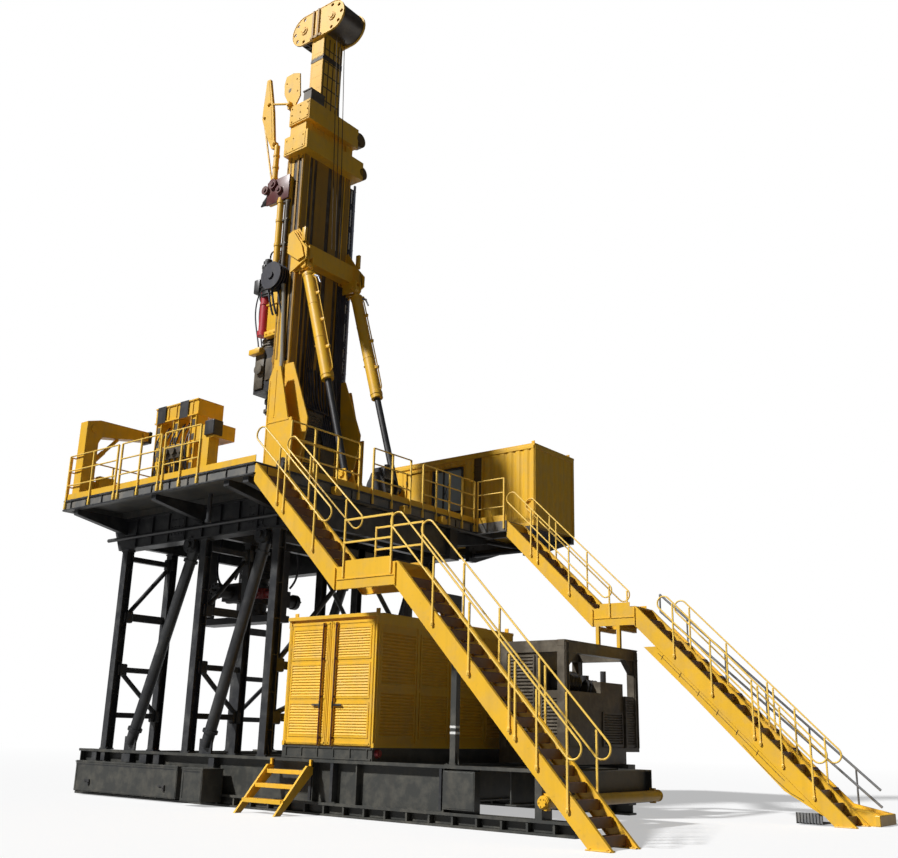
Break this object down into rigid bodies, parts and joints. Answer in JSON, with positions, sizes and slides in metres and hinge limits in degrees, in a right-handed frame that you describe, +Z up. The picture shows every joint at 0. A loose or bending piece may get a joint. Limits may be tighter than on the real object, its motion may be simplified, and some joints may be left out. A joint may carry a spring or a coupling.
{
  "type": "skid-mounted drilling rig",
  "caption": "Down-the-hole drilling rig on a steel skid: raised drill floor, tilting telescopic mast, two stairs, power pack and cabin.",
  "frame": {"origin": "underside of the skid's middle cross member, in the middle of the skid, at ground level", "axes": "+X along the skid towards the stairs' feet, +Y to the back where the cabin is, +Z up"},
  "size_m": [15.8654, 10.198, 21.2],
  "materials": {
    "yellow_paint": "yellow gloss paint",
    "rail_paint": "light yellow paint on rails",
    "frame_paint": "black paint on structural steel",
    "skid_paint": "dark olive grey paint",
    "deck_grey": "grey paint, worn where walked on",
    "tread_steel": "brown black chequered steel",
    "cabin_glass": "grey tinted glass",
    "red_paint": "dark red paint",
    "black_machine": "black paint with oil",
    "black_plastic": "black plastic links",
    "rod_chrome": "hard chrome rod",
    "brown_machine": "dark brown paint"
  },
  "bodies": {
    "rig_base": {"skid_beams": "skid_paint", "skid_cross_beams": "skid_paint", "tool_boxes": "skid_paint", "access_ladder": "yellow_paint", "tail_roller": "yellow_paint", "columns": "frame_paint", "braces": "frame_paint", "end_frames": "frame_paint", "floor_girders": "frame_paint", "drill_floor": "deck_grey", "toe_boards": "yellow_paint", "front_pipe": "frame_paint", "floor_rails": "rail_paint", "stair_1_sides": "yellow_paint", "stair_1_rails": "rail_paint", "stair_2_sides": "yellow_paint", "stair_2_rails": "rail_paint", "stair_treads": "tread_steel", "landing_frame": "yellow_paint", "landing_post": "skid_paint", "pipe_ramp": "yellow_paint", "cabin_shell": "yellow_paint", "cabin_roof": "yellow_paint", "cabin_window": "cabin_glass", "cabin_brackets": "frame_paint", "power_pack_housing": "yellow_paint", "power_pack_base": "skid_paint", "pump_housing": "brown_machine", "blowout_preventer": "red_paint", "roughneck": "yellow_paint", "roughneck_arm": "yellow_paint", "mast_stands": "yellow_paint"},
    "mast": {"outer_mast": "yellow_paint", "mast_head": "yellow_paint", "mast_cross_beam": "yellow_paint", "mast_feet": "yellow_paint", "cable_carrier": "black_plastic", "pipe_arm": "yellow_paint"},
    "mast_inner": {"inner_mast": "yellow_paint", "crown": "yellow_paint"},
    "head": {"rotary_head": "black_machine"},
    "barrels": {"raise_barrels": "yellow_paint"},
    "rods": {"raise_rods": "rod_chrome"},
    "door_left": {"power_pack_door_left": "yellow_paint"},
    "door_right": {"power_pack_door_right": "yellow_paint"}
  },
  "joints": [
    {"name": "mast_tilt", "type": "hinge", "parent": "rig_base", "child": "mast", "pos_m": [-2.15, 0, 7.48], "axis": [0, 1, 0], "range_deg": [0, 90]},
    {"name": "mast_telescope", "type": "slide", "parent": "mast", "child": "mast_inner", "axis": [0, 0, 1], "range_m": [-1.3, 1.7]},
    {"name": "head_travel", "type": "slide", "parent": "mast_inner", "child": "head", "axis": [0, 0, 1], "range_m": [-1.3, 1.7]},
    {"name": "barrel_swing", "type": "hinge", "parent": "mast", "child": "barrels", "pos_m": [-2.2, 0, 12.8], "axis": [0, 1, 0], "range_deg": [0, 10.29]},
    {"name": "rod_stroke", "type": "slide", "parent": "barrels", "child": "rods", "axis": [0.2935, 0, -0.956], "range_m": [-2.3173, 0]},
    {"name": "door_left_hinge", "type": "hinge", "parent": "rig_base", "child": "door_left", "pos_m": [0.18, -2.8, 1.3], "axis": [0, 0, -1], "range_deg": [0, 110]},
    {"name": "door_right_hinge", "type": "hinge", "parent": "rig_base", "child": "door_right", "pos_m": [2.41, -2.8, 1.3], "axis": [0, 0, 1], "range_deg": [0, 110]}
  ],
  "couplings": [
    {"joint": "head_travel", "follows": "mast_telescope", "ratio": 1},
    {"joint": "barrel_swing", "follows": "mast_tilt", "ratio": 0.11437},
    {"joint": "rod_stroke", "follows": "mast_tilt", "m_per_rad": -1.4751}
  ]
}
